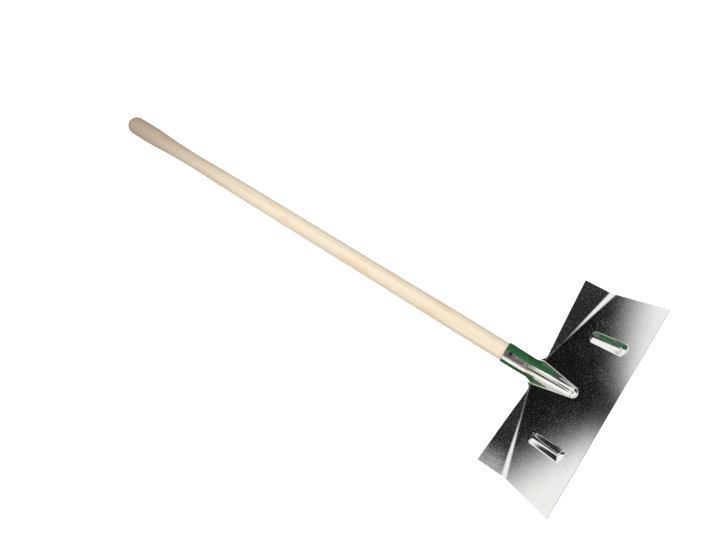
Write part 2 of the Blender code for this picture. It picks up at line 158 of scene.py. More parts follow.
# The bare steel is stained brown along the tube: where it fades out along the socket, and on its +X side
STAIN_END = 1.25
STAIN_FADE = 0.45
STAIN_RIGHT = 0.0125
STAIN_SIDE_FADE = 0.005

# Weld
WELD_START = 0.03
WELD_LEG = 0.0021
WELD_BULGE = 0.0003
WELD_FACE_STEPS = 7
WELD_STATIONS = 160
WELD_NOSE_STATIONS = 40

# Handle: distance from the socket's mouth and diameter, towards the bulb
WAIST_DISTANCE = 0.811
HANDLE_PROFILE = (
    (0.000, 0.0376),
    (0.100, 0.0384),
    (0.250, 0.0366),
    (0.440, 0.0350),
    (0.640, 0.0332),
    (WAIST_DISTANCE, 0.0312),
    (0.887, 0.0380),
    (0.920, 0.0370),
)
HANDLE_VISIBLE = 0.939
HANDLE_TIP_CHAMFER = 0.022
HANDLE_TIP_RADIUS = 0.0115
HANDLE_SEGMENTS = 96
HANDLE_STATIONS = 80
HANDLE_DOME_STEPS = 24
GAP = 0.0003

# Colours, and the finish that goes with them. A pair is the two tones that a pattern mixes
ENAMEL_AND_REFLECTION_GREENS = ((0.010, 0.080, 0.020), (0.020, 0.130, 0.036))
ENAMEL_ROUGHNESS = 0.34
ENAMEL_SPECULAR = 0.28
BLADE_GREYS = ((0.57, 0.57, 0.57), (0.67, 0.67, 0.67))
BLADE_SPECKLE_GREY = (0.40, 0.40, 0.40)
BARE_STEEL_TONES = ((0.62, 0.61, 0.58), (0.72, 0.71, 0.68))
BARE_ROUGHNESS = 0.13
STAIN_BROWN = (0.200, 0.170, 0.155)
STAIN_ROUGHNESS = 0.2  # added to the bare steel's
WELD_GREYS = ((0.58, 0.57, 0.54), (0.74, 0.73, 0.70))
SCREW_BLACKS = ((0.012, 0.012, 0.013), (0.035, 0.035, 0.036))
WOOD_RING_COLORS = ((0.86, 0.76, 0.58), (0.80, 0.67, 0.48))
WOOD_FIBRE_COLOR = (0.88, 0.79, 0.63)
WOOD_PORE_COLOR = (0.60, 0.46, 0.32)
WOOD_BLOTCH_COLOR = (0.85, 0.60, 0.43)
WOOD_SPECULAR = 0.25
# The handle's colour is darker towards its bulb: the row's Y where that starts and where it is full
WOOD_BULB_END_COLOR = (0.345, 0.245, 0.182)
WOOD_DARKENING_START = -0.18
WOOD_DARKENING_END = -0.66
WOOD_DARKENING_SHARE = 0.85
FLOOR_WHITES = ((0.92, 0.92, 0.92), (0.93, 0.93, 0.93))

# Camera, fitted to landmarks that were read off the photo: its place, its turn in degrees, and its lens and
# sensor width in millimetres
CAMERA_POSITION = (0.1355, 0.4673, 1.9962)
CAMERA_ROTATION = (12.288, 7.159, 122.473)
CAMERA_LENS = 49.449
CAMERA_SENSOR_WIDTH = 36.0
CAMERA_SHIFT = (-0.0348, -0.0662)

# Studio
FLOOR_HALF_SIZE = 12.0
BACKDROP_RADIUS = 11.0
SPHERE_STEP = 2  # degrees between the points of the tent and the backdrop
FLOOR_GLOW = 0.75
DAYLIGHT = 0.56  # from above the horizon
GROUND_LIGHT = 0.58  # from below it
HORIZON_FADE = 0.1
SOFT_LIGHT_POSITION = (0.3, 0.1, 2.6)
SOFT_LIGHT_AIM = (0.0, 0.2, 0.0)
SOFT_LIGHT_SIZE = 2.2
SOFT_LIGHT_POWER = 44.0  # watts

# White tent round the tool that shows only in reflections
TENT_CENTRE = (0.0, 0.5, 0.05)
TENT_RADIUS = 1.25
TENT_LIGHT = 1.38
TENT_DARK = 0.010  # the least light from anywhere, added to the rest
TENT_LEFT_TINT = (1.0, 0.985, 1.0)  # at -X
TENT_RIGHT_TINT = (1.0, 1.0, 0.955)  # at +X
# Dark openings in the tent: azimuth from the handle's side towards +X and elevation of the middle, half
# width, half height, all in degrees, the softness of the edge as a share of the size, and the light in it.
# They are where the steel has to be dark in the photo. The first three began as a fit to its brightness on
# the blade and were then changed, and the others were placed one by one
TENT_OPENINGS = (
    (-6.3, 5.0, 35.8, 35.4, 0.10, 0.0),
    (-5.4, 36.5, 8.5, 6.0, 0.50, 0.0),
    (-6.0, 49.5, 3.7, 15.0, 0.80, 0.0),
    (-8.0, 64.0, 15.0, 7.5, 0.25, 0.02),
    (0.0, 90.0, 12.0, 12.0, 1.00, 0.1),
    (68.0, 56.0, 11.0, 24.0, 0.35, 0.03),
    (-116.0, 14.0, 43.5, 44.0, 0.12, 0.05),
    (-52.0, 8.0, 13.0, 12.0, 0.30, 0.03),
    (54.0, -3.0, 18.0, 13.0, 0.20, 0.03),
    (0.0, -90.0, 88.0, 88.0, 0.03, 0.08),
)

BACKWARD = np.array((0.0, -math.cos(LIFT_ANGLE), math.sin(LIFT_ANGLE)))
UPWARD = np.array((0.0, math.sin(LIFT_ANGLE), math.cos(LIFT_ANGLE)))


# ---------------------------------------------------------------- shared mesh helpers


def mix(a, b, share):
    return a + (b - a) * share


def smoothstep(value):
    value = np.clip(value, 0.0, 1.0)
    return value * value * (3.0 - 2.0 * value)


def blade_frame(record):
    """Matrix from the blade's own frame to the row's, found from the mount on the blade's underside."""
    mount = record["mounts"][0]
    down = Vector(mount["axis"]).normalized()
    turn = math.atan2(down.y, -down.z)
    rotation = Matrix.Rotation(turn, 4, "X")
    origin = Vector(mount["pos_m"]) - rotation @ Vector(UNDERSIDE_POINT)
    return Matrix.Translation(origin) @ rotation


def grid_faces(rows, columns, closed=False):
    """Quads over a grid of points, row by row. closed joins the last column to the first."""
    faces = []
    last = columns if closed else columns - 1
    for row in range(rows - 1):
        for column in range(last):
            right = (column + 1) % columns
            here = row * columns
            faces.append((here + column, here + right, here + columns + right, here + columns + column))
    return faces


def add_mesh(name, points, faces, place):
    """Adds a smooth mesh whose points are moved to their place, so that the object itself stays unmoved."""
    mesh = bpy.data.meshes.new(name)
    mesh.from_pydata([tuple(p) for p in points], [], faces)
    mesh.validate()
    mesh.transform(place)
    mesh.shade_smooth()
    obj = bpy.data.objects.new(name, mesh)
    bpy.context.scene.collection.objects.link(obj)
    return obj


def add_attribute(obj, name, values):
    attribute = obj.data.attributes.new(name, "FLOAT", "POINT")
    attribute.data.foreach_set("value", np.asarray(values, dtype=np.float32))


def thicken(obj):
    """Makes a surface into a sheet, with its thickness below the surface."""
    modifier = obj.modifiers.new("sheet", "SOLIDIFY")
    modifier.thickness = SHEET
    modifier.offset = -1.0
    modifier.use_even_offset = True


def round_edges(obj, width):
    modifier = obj.modifiers.new("rounding", "BEVEL")
    modifier.width = width
    modifier.segments = EDGE_SEGMENTS
    modifier.limit_method = "ANGLE"
    modifier.angle_limit = EDGE_ANGLE
    modifier.harden_normals = False


def finish_piece(obj, node, material):
    obj.data.materials.append(material)
    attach(obj, BODY)
    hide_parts(node)


# ---------------------------------------------------------------- blade


def wing_height(x, y):
    """Height of the bent-up rear corners: flat in front of the crease, a conical bend, then a flat wing."""
    crease = np.subtract(CREASE_END, NECK_CORNER)
    crease /= np.linalg.norm(crease)
    offset_x = np.abs(x) - NECK_CORNER[0]
    offset_y = y - NECK_CORNER[1]
    reach = np.maximum(offset_x * crease[0] + offset_y * crease[1], CREASE_SHORTEST_REACH)
    distance = offset_x * crease[1] - offset_y * crease[0]
    half_band = reach * math.tan(CREASE_SPREAD / 2)
    bend = (distance + half_band) ** 2 / (4 * half_band)
    height = np.where(distance >= half_band, distance, np.where(distance <= -half_band, 0.0, bend))
    return height * WING_SLOPE


def rib_coordinates(x, y):
    """Sideways, beyond and share: how far each point is from the rib's middle line, as a share of its half
    width, how far past the line's ends, as a share of their depth, and how far along the line it is."""
    axis = np.subtract(RIB_FRONT, RIB_REAR)
    length = np.linalg.norm(axis)
    ahead = axis / length
    offset_x = np.abs(x) - RIB_REAR[0]
    offset_y = y - RIB_REAR[1]
    along = offset_x * ahead[0] + offset_y * ahead[1]
    spine = np.clip(along, RIB_END_DEPTH, length - RIB_END_DEPTH)
    share = spine / length
    half_width = mix(RIB_REAR_HALF_WIDTH, RIB_FRONT_HALF_WIDTH, share)
    sideways = (offset_x * ahead[1] - offset_y * ahead[0]) / half_width
    return sideways, (along - spine) / RIB_END_DEPTH, share


def rib_height(x, y):
    """Height of the ribs: a rounded ridge between two plain flanks, with a small fillet at their foot."""
    sideways, beyond, share = rib_coordinates(x, y)
    away = (np.abs(sideways) ** RIB_END_POWER + np.abs(beyond) ** RIB_END_POWER) ** (1 / RIB_END_POWER)
    span = math.hypot(1, RIB_RIDGE_SHARE) - RIB_RIDGE_SHARE
    ridge = 1 - (np.hypot(away, RIB_RIDGE_SHARE) - RIB_RIDGE_SHARE) / span
    rise = mix(RIB_REAR_HEIGHT, RIB_FRONT_HEIGHT, share) * ridge
    fillet = (rise + RIB_FOOT_FILLET) ** 2 / (4 * RIB_FOOT_FILLET)
    return np.where(rise >= RIB_FOOT_FILLET, rise, np.where(rise <= -RIB_FOOT_FILLET, 0.0, fillet))


def rib_painted_reflection(x, y):
    """How green the blade is: a painted green reflection on the outer flank of the -X rib, more of it
    towards its front.
    """
    sideways, beyond, share = rib_coordinates(x, y)
    flank = smoothstep((sideways - RIB_PAINTED_REFLECTION_INNER) / RIB_PAINTED_REFLECTION_INNER_FADE)
    flank *= smoothstep((RIB_PAINTED_REFLECTION_OUTER - sideways) / RIB_PAINTED_REFLECTION_OUTER_FADE)
    ends = smoothstep((1.0 - np.abs(beyond)) / RIB_PAINTED_REFLECTION_END_FADE)
    return flank * ends * mix(RIB_PAINTED_REFLECTION_AT_REAR, 1.0, smoothstep(share * 2)) * (x < 0)


def corner_wear(x, y):
    """How scuffed the sheet is: one bent-up corner has been rubbed dull towards its tip."""
    crease = np.subtract(CREASE_END, NECK_CORNER)
    behind = (x - NECK_CORNER[0]) * crease[1] - (y - NECK_CORNER[1]) * crease[0]
    on_wing = smoothstep(behind / np.linalg.norm(crease) / SCUFF_CREASE_WIDTH)
    return smoothstep((x - SCUFF_START) / SCUFF_WIDTH) * on_wing


def blade_columns():
    """Where the grid's columns run, as shares of the half width: closer over the ribs."""
    inner = (NECK_FILLET_CENTRE[0] - NECK_FILLET_RADIUS) / REAR_CORNER[0]
    outer = NECK_FILLET_CENTRE[0] / REAR_CORNER[0]
    even = np.linspace(0, 1, BLADE_COLUMNS + 1)
    half = np.concatenate([even, np.linspace(*RIB_COLUMN_RANGE, RIB_COLUMNS), (inner, outer)])
    return np.unique(np.concatenate([-half, half]))


def blade_plan():
    """Grid of plan points. Rows run from the leading edge to the rear edge, columns from side to side."""
    across = blade_columns()
    back = np.linspace(0, 1, BLADE_ROWS + 1)
    side_y = (REAR_CORNER[1], CREASE_END[1], 0.0)
    side_x = (REAR_CORNER[0], CREASE_END[0], FRONT_HALF_WIDTH)
    y = np.outer(back, rear_edge(np.abs(across) * REAR_CORNER[0]))
    x = across * np.interp(y, side_y, side_x)
    return x, y


def rear_edge(x):
    """The rear edge's Y at each distance from the blade's middle."""
    return np.interp(x, (0.0, NECK_CORNER[0], REAR_CORNER[0]), (NECK_CORNER[1],) * 2 + (REAR_CORNER[1],))


def web_plan(edge_x):
    """Grid of plan points from the rear edge back to the fillet beside the socket, at the given columns."""
    centre_x, centre_y = NECK_FILLET_CENTRE
    aside = np.clip(centre_x - np.abs(edge_x), 0, NECK_FILLET_RADIUS)
    fillet = centre_y + np.sqrt(NECK_FILLET_RADIUS**2 - aside**2)
    back = np.linspace(0, 1, WEB_ROWS + 1)[:, None]
    start = rear_edge(np.abs(edge_x))
    return np.tile(edge_x, (WEB_ROWS + 1, 1)), mix(start, np.minimum(fillet, start), back)


def merge_doubles(obj):
    bm = bmesh.new()
    bm.from_mesh(obj.data)
    bmesh.ops.remove_doubles(bm, verts=bm.verts, dist=MERGE_DISTANCE)
    bmesh.ops.dissolve_degenerate(bm, edges=bm.edges, dist=MERGE_DISTANCE)
    bm.to_mesh(obj.data)
    bm.free()


def build_blade(place, material):
    plans = [blade_plan()]
    rear_x = plans[0][0][-1]
    centre_x = NECK_FILLET_CENTRE[0]
    inner_x = centre_x - NECK_FILLET_RADIUS
    for side in (-1, 1):
        beside = rear_x * side
        under_fillet = (beside >= inner_x - MERGE_DISTANCE) & (beside <= centre_x + MERGE_DISTANCE)
        plans.append(web_plan(rear_x[under_fillet]))
    points, faces, painted_reflection, worn = [], [], [], []
    for x, y in plans:
        start = len(points)
        z = wing_height(x, y) + rib_height(x, y)
        faces += [tuple(start + i for i in face[::-1]) for face in grid_faces(*x.shape)]
        points += np.stack([x, y, z], axis=-1).reshape(-1, 3).tolist()
        # Painted green reflection on one rib's outer flank, kept as an attribute for the material
        painted_reflection += rib_painted_reflection(x, y).ravel().tolist()
        worn += corner_wear(x, y).ravel().tolist()
    blade = add_mesh("blade_sheet", points, faces, place)
    add_attribute(blade, "painted_reflection", painted_reflection)
    add_attribute(blade, "worn", worn)
    merge_doubles(blade)
    thicken(blade)
    round_edges(blade, BLADE_EDGE_ROUNDING)
    finish_piece(blade, "blade", material)


# ---------------------------------------------------------------- socket


def tube_section(distance, step):
    """Points of the tube at a distance behind the neck. step runs from the crest, 0, to the seam, 1."""
    radius = mix(SOCKET_NECK_RADIUS, SOCKET_MOUTH_RADIUS, distance / SOCKET_LENGTH)
    lower = mix(math.pi / 2, SEAM_ANGLE, step * 2 - 1)
    angle = np.where(step < 0.5, math.pi * step, lower)
    aside = np.outer(np.sin(angle) * radius, (1.0, 0.0, 0.0))
    return NECK_AXIS + BACKWARD * distance + aside + np.outer(np.cos(angle) * radius, UPWARD)


def frog_wall(ahead, turn, share):
    """Points of the frog. ahead runs from its rear, 0, to its nose's centre, 1. There turn fans the nose
    out, from square to the centre line, 0, to straight ahead, 1. share runs from the crest to the foot."""
    crest = mix(FROG_NOSE_HEIGHT, FROG_REAR_HEIGHT, (1 - ahead) ** FROG_SLOPE_POWER)
    power = mix(FROG_REAR_POWER, FROG_NOSE_POWER, ahead)
    reach = mix(FROG_REAR_RADIUS, FROG_NOSE_RADIUS, ahead) * share
    angle = turn * math.pi / 2
    centre_y = mix(FROG_REAR_Y, FROG_NOSE_Y, ahead)
    height = mix(crest, FROG_FOOT_HEIGHT, share**power)
    return np.stack([reach * math.cos(angle), centre_y + reach * math.sin(angle), height], axis=-1)


def frog_section(ahead, turn, step):
    share = np.where(step < 0.5, 2 * step * FLANK_SHARE, mix(FLANK_SHARE, 1.0, step * 2 - 1))
    return frog_wall(ahead, turn, share)


def blend_section(distance, step):
    """Points where the tube unrolls, between the tube and a frog that reaches as far back."""
    share = smoothstep(1 - distance / NECK_BLEND)
    behind = distance * math.cos(LIFT_ANGLE) / (FROG_NOSE_Y - FROG_REAR_Y)
    return mix(tube_section(distance, step), frog_section(-behind, 0, step), share)


def socket_sections(step):
    """Sections of the socket's +X half, from the mouth to the nose, and how far along each one is: 0 at
    the mouth, 1 at the neck, 2 at the nose's centre and 3 at its tip."""
    sections = []
    along = []
    for distance in np.linspace(SOCKET_LENGTH, NECK_BLEND, TUBE_STATIONS):
        sections.append(tube_section(distance, step))
        along.append(1 - distance / SOCKET_LENGTH)
    for distance in np.linspace(NECK_BLEND, 0, BLEND_STATIONS + 1)[1:]:
        sections.append(blend_section(distance, step))
        along.append(1 - distance / SOCKET_LENGTH)
    for ahead in np.linspace(0, 1, FROG_STATIONS + 1)[1:]:
        sections.append(frog_section(ahead, 0, step))
        along.append(1 + ahead)
    for turn in np.linspace(0, 1, NOSE_STATIONS + 1)[1:]:
        sections.append(frog_section(1, turn, step))
        along.append(2 + turn)
    return np.array(sections), np.array(along)


def bare_share(across, along):
    """How bare of enamel the socket is: worn along the crest and all round the nose, green on the flanks."""
    left = np.interp(along, BARE_ALONG, BARE_LEFT)
    right = np.interp(along, BARE_ALONG, BARE_RIGHT)
    inside = np.minimum(across - left, right - across)
    return np.clip(inside / BARE_SOFTNESS + 0.5, 0.0, 1.0)


def stain_share(across, along):
    """How stained the bare steel is: all along the crest of the tube, and clean from the frog's rise on."""
    lengthwise = smoothstep((STAIN_END - along) / STAIN_FADE)
    return lengthwise * smoothstep((STAIN_RIGHT - across) / STAIN_SIDE_FADE)


def build_socket(place, material):
    step = np.linspace(0, 1, SECTION_STEPS + 1)
    half, along = socket_sections(step)
    other = half[:, :0:-1] * (-1, 1, 1)
    sections = np.concatenate([other, half], axis=1)
    rows, columns, _ = sections.shape
    across = sections[..., 0]
    below = np.concatenate([step[:0:-1], step]) > 0.5
    bare = bare_share(across, along[:, None]) * ~(below[None, :] & (along[:, None] < 1.0))
    socket = add_mesh("socket_shell", sections.reshape(-1, 3), grid_faces(rows, columns), place)
    add_attribute(socket, "bare", bare.ravel())
    add_attribute(socket, "stained", stain_share(across, along[:, None]).ravel())
    thicken(socket)
    round_edges(socket, SOCKET_EDGE_ROUNDING)
    finish_piece(socket, "socket", material)


# ---------------------------------------------------------------- weld


def weld_section(ahead, turn):
    """Points round the bead: its root, its face from the blade up to the frog's wall, and its foot."""
    angle = turn * math.pi / 2
    if turn == 0:
        angle += math.atan2(FROG_REAR_RADIUS - FROG_NOSE_RADIUS, FROG_NOSE_Y - FROG_REAR_Y)
    outward = np.array((math.cos(angle), math.sin(angle), 0.0))
    crest = mix(FROG_NOSE_HEIGHT, FROG_REAR_HEIGHT, (1 - ahead) ** FROG_SLOPE_POWER)
    power = mix(FROG_REAR_POWER, FROG_NOSE_POWER, ahead)
    top_share = (1 - (WELD_LEG - FROG_FOOT_HEIGHT) / (crest - FROG_FOOT_HEIGHT)) ** (1 / power)
    foot = frog_wall(ahead, turn, np.array(1.0))
    top = frog_wall(ahead, turn, np.array(top_share))
    root = np.array((foot[0], foot[1], 0.0))
    toe = root + outward * WELD_LEG
    bulge_way = (outward + (0, 0, 1)) / math.sqrt(2)
    share = np.linspace(0, 1, WELD_FACE_STEPS)[:, None]
    face = mix(toe, top, share) + bulge_way * WELD_BULGE * np.sin(share * math.pi)
    return np.concatenate([[root], face, [foot]])


def build_weld(place, material):
    half = [weld_section(ahead, 0) for ahead in np.linspace(WELD_START, 1, WELD_STATIONS + 1)]
    half += [weld_section(1, turn) for turn in np.linspace(0, 1, WELD_NOSE_STATIONS + 1)[1:]]
    half = np.array(half)
    other = half[-2::-1] * (-1, 1, 1)
    rings = np.concatenate([half, other])
    count, columns, _ = rings.shape
    faces = grid_faces(count, columns, closed=True)
    faces.append(tuple(range(columns))[::-1])
    faces.append(tuple(range((count - 1) * columns, count * columns)))
    weld = add_mesh("weld_bead", rings.reshape(-1, 3), faces, place)
    finish_piece(weld, "socket_weld", material)


# ---------------------------------------------------------------- handle


def handle_radius(distance):
    """Smooth curve through the profile's points, with the mean of its neighbours' slopes at each."""
    x, y = np.array(HANDLE_PROFILE).T
    slopes = np.gradient(y, x)
    i = int(np.clip(np.searchsorted(x, distance) - 1, 0, len(x) - 2))
    span = x[i + 1] - x[i]
    t = (distance - x[i]) / span
    start = (1 + 2 * t) * (1 - t) ** 2 * y[i] + t * (1 - t) ** 2 * span * slopes[i]
    end = t * t * (3 - 2 * t) * y[i + 1] + t * t * (t - 1) * span * slopes[i + 1]
    return float(start + end) / 2


def socket_bore(distance_behind_neck):
    radius = mix(SOCKET_NECK_RADIUS, SOCKET_MOUTH_RADIUS, distance_behind_neck / SOCKET_LENGTH)
    return radius - SHEET - GAP


def handle_outline():
    """(distance from the mouth, radius) pairs, from the tip inside the socket to the end of the bulb."""
    outline = [
        (-SOCKET_LENGTH, HANDLE_TIP_RADIUS),
        (HANDLE_TIP_CHAMFER - SOCKET_LENGTH, socket_bore(HANDLE_TIP_CHAMFER)),
        (0.0, socket_bore(SOCKET_LENGTH)),
    ]
    dome_start, dome_diameter = HANDLE_PROFILE[-1]
    stations = np.linspace(0, dome_start, HANDLE_STATIONS + 1)[1:]
    outline += [(distance, handle_radius(distance)) for distance in stations]
    dome_length = HANDLE_VISIBLE - dome_start
    for angle in np.linspace(0, math.pi / 2, HANDLE_DOME_STEPS + 1)[1:-1]:
        outline.append((dome_start + dome_length * math.sin(angle), dome_diameter / 2 * math.cos(angle)))
    return outline


def build_handle(place, material):
    turns = np.linspace(0, 2 * math.pi, HANDLE_SEGMENTS, endpoint=False)
    outline = handle_outline()
    rings = [[(r * math.cos(a), r * math.sin(a), distance) for a in turns] for distance, r in outline]
    points = np.array(rings).reshape(-1, 3).tolist()
    faces = grid_faces(len(outline), HANDLE_SEGMENTS, closed=True)
    tip = len(points)
    points += [(0.0, 0.0, -SOCKET_LENGTH), (0.0, 0.0, HANDLE_VISIBLE)]
    last_ring = (len(outline) - 1) * HANDLE_SEGMENTS
    for i in range(HANDLE_SEGMENTS):
        j = (i + 1) % HANDLE_SEGMENTS
        faces.append((tip, j, i))
        faces.append((tip + 1, last_ring + i, last_ring + j))
    mouth = NECK_AXIS + BACKWARD * SOCKET_LENGTH
    x_axis = Vector((1, 0, 0))
    z_axis = Vector(BACKWARD)
    turn = Matrix((x_axis, z_axis.cross(x_axis), z_axis)).transposed().to_4x4()
    handle = add_mesh("ash_handle", points, faces, place @ Matrix.Translation(mouth) @ turn)
    finish_piece(handle, "handle", material)


# ---------------------------------------------------------------- node material helpers


class Nodes:
    """Short calls for building a node tree."""

    def __init__(self, tree):
        self.tree = tree

    def add(self, kind, **settings):
        node = self.tree.nodes.new(kind)
        for key, value in settings.items():
            setattr(node, key, value)
        return node

    def link(self, source, target):
        self.tree.links.new(source, target)

    def value(self, target, source):
        """Sets a socket to a constant, or links another socket to it."""
        if isinstance(source, bpy.types.NodeSocket):
            self.link(source, target)
        else:
            target.default_value = source

    def math(self, operation, a, b):
        node = self.add("ShaderNodeMath", operation=operation)
        self.value(node.inputs[0], a)
        self.value(node.inputs[1], b)
        return node.outputs[0]

    def ramp(self, value, low, high, to_low=0.0, to_high=1.0):
        """Smooth step of value from low to high, mapped to to_low and to_high."""
        node = self.add("ShaderNodeMapRange", interpolation_type="SMOOTHSTEP")
        for index, source in enumerate((value, low, high, to_low, to_high)):
            self.value(node.inputs[index], source)
        return node.outputs[0]

    def attribute(self, name, output="Fac"):
        return self.add("ShaderNodeAttribute", attribute_name=name).outputs[output]

    def mix_color(self, share, a, b):
        node = self.add("ShaderNodeMix", data_type="RGBA")
        self.value(node.inputs[0], share)
        for socket, source in ((node.inputs[6], a), (node.inputs[7], b)):
            self.value(socket, (*source, 1.0) if isinstance(source, tuple) else source)
        return node.outputs[2]

    def object_coordinates(self, scale=(1, 1, 1), location=(0, 0, 0)):
        source = self.add("ShaderNodeTexCoord")
        mapping = self.add("ShaderNodeMapping")
        mapping.inputs["Scale"].default_value = scale
        mapping.inputs["Location"].default_value = location
        self.link(source.outputs["Object"], mapping.inputs["Vector"])
        return mapping.outputs[0]

    def noise(self, vector, scale, detail=2.0, roughness=0.5, distortion=0.0):
        node = self.add("ShaderNodeTexNoise")
        self.link(vector, node.inputs["Vector"])
        node.inputs["Scale"].default_value = scale
        node.inputs["Detail"].default_value = detail
        node.inputs["Roughness"].default_value = roughness
        node.inputs["Distortion"].default_value = distortion
        return node.outputs[0]

    def bump(self, height, strength, distance):
        node = self.add("ShaderNodeBump")
        node.inputs["Strength"].default_value = strength
        node.inputs["Distance"].default_value = distance
        self.link(height, node.inputs["Height"])
        return node.outputs[0]


def new_material(name):
    material = bpy.data.materials.new(name)
    material.use_nodes = True
    shader = material.node_tree.nodes["Principled BSDF"]
    return material, Nodes(material.node_tree), shader


# ---------------------------------------------------------------- materials


# Green of the socket's enamel, used also for the painted green reflection on one rib
def green_enamel_and_reflection(nodes, place):
    tone = nodes.noise(place, 45.0, 3.0, 0.6)
    return nodes.mix_color(nodes.ramp(tone, 0.3, 0.7), *ENAMEL_AND_REFLECTION_GREENS)


def blade_painted_reflection_share(nodes, place):
    """Where the blade is green with a painted green reflection: its attribute with a noisy edge, on the load
    face only.
    """
    facing = nodes.add("ShaderNodeSeparateXYZ")
    nodes.link(nodes.add("ShaderNodeTexCoord").outputs["Normal"], facing.inputs[0])
    upper_side = nodes.ramp(facing.outputs["Z"], 0.0, 0.1)
    patch = nodes.math("MULTIPLY", nodes.attribute("painted_reflection"), upper_side)
    edge_noise = nodes.noise(place, 300.0, 3.0, 0.7)
    return nodes.ramp(nodes.math("ADD", patch, nodes.ramp(edge_noise, 0.2, 0.8, -0.2, 0.2)), 0.25, 0.75)


def blade_steel():
    """Bright rolled steel sheet: a fine mottle, pin-point speckle and a few faint scuffs."""
    material, nodes, shader = new_material("blade_steel")
    place = nodes.object_coordinates()
    speckle = nodes.noise(place, 1100.0, 2.0, 0.6)
    mottle = nodes.noise(place, 420.0, 2.0, 0.6)
    clouds = nodes.noise(place, 30.0, 3.0, 0.6)
    scuffs = nodes.noise(nodes.object_coordinates((9.0, 60.0, 9.0)), 7.0, 4.0, 0.65, 0.4)
    color = nodes.mix_color(nodes.ramp(mottle, 0.3, 0.7), *BLADE_GREYS)
    color = nodes.mix_color(nodes.ramp(speckle, 0.60, 0.72, 0.0, 0.6), color, BLADE_SPECKLE_GREY)
    # Painted green reflection on one rib's outer flank, which takes the place of the steel's colour there
    painted_reflection = blade_painted_reflection_share(nodes, place)
    nodes.link(nodes.mix_color(painted_reflection, color, green_enamel_and_reflection(nodes, place)), shader.inputs["Base Color"])
    rough = nodes.ramp(mottle, 0.42, 0.74, 0.045, 0.135)
    # what dulls the steel, from what value, to what value, and how much roughness it adds
    for dulling, low, high, added in (
        (speckle, 0.60, 0.74, 0.15),
        (nodes.attribute("worn"), 0.0, 1.0, 0.24),
        (scuffs, 0.60, 0.85, 0.05),
        (clouds, 0.40, 0.75, 0.03),
        (painted_reflection, 0.0, 1.0, 0.2),
    ):
        rough = nodes.math("ADD", rough, nodes.ramp(dulling, low, high, 0.0, added))
    nodes.link(rough, shader.inputs["Roughness"])
    nodes.link(nodes.ramp(painted_reflection, 0.0, 1.0, 1.0, 0.0), shader.inputs["Metallic"])
    nodes.link(nodes.bump(mottle, 0.05, 0.0003), shader.inputs["Normal"])
    return material


def socket_enamel():
    """Dark green enamel, bare and bright where the bare attribute says."""
    material, nodes, shader = new_material("socket_enamel")
    place = nodes.object_coordinates()
    edge_noise = nodes.noise(place, 260.0, 4.0, 0.7)
    edge = nodes.math("ADD", nodes.attribute("bare"), nodes.ramp(edge_noise, 0.2, 0.8, -0.22, 0.22))
    share = nodes.ramp(edge, 0.38, 0.62)
    tone = nodes.noise(place, 55.0, 3.0, 0.6)
    steel = nodes.mix_color(nodes.ramp(tone, 0.3, 0.7), *BARE_STEEL_TONES)
    spots = nodes.noise(place, 150.0, 4.0, 0.65)
    stain = nodes.math("MULTIPLY", nodes.attribute("stained"), nodes.ramp(spots, 0.30, 0.62, 0.45, 1.0))
    stain = nodes.math("MAXIMUM", stain, nodes.ramp(spots, 0.60, 0.75, 0.0, 0.4))
    steel = nodes.mix_color(stain, steel, STAIN_BROWN)
    nodes.link(nodes.mix_color(share, green_enamel_and_reflection(nodes, place), steel), shader.inputs["Base Color"])
    nodes.link(share, shader.inputs["Metallic"])
    rough = nodes.ramp(share, 0.0, 1.0, ENAMEL_ROUGHNESS, BARE_ROUGHNESS)
    rough = nodes.math("ADD", rough, nodes.math("MULTIPLY", stain, STAIN_ROUGHNESS))
    nodes.link(rough, shader.inputs["Roughness"])
    shader.inputs["Specular IOR Level"].default_value = ENAMEL_SPECULAR
    peel = nodes.noise(place, 420.0, 2.0, 0.5)
    nodes.link(nodes.bump(peel, 0.08, 0.0002), shader.inputs["Normal"])
    return material


def weld_steel():
    material, nodes, shader = new_material("weld_steel")
    place = nodes.object_coordinates()
    grain = nodes.noise(place, 700.0, 3.0, 0.6)
    color = nodes.mix_color(nodes.ramp(grain, 0.3, 0.7), *WELD_GREYS)
    nodes.link(color, shader.inputs["Base Color"])
    shader.inputs["Metallic"].default_value = 1.0
    nodes.link(nodes.ramp(grain, 0.3, 0.7, 0.16, 0.26), shader.inputs["Roughness"])
    nodes.link(nodes.bump(grain, 0.2, 0.0002), shader.inputs["Normal"])
    return material


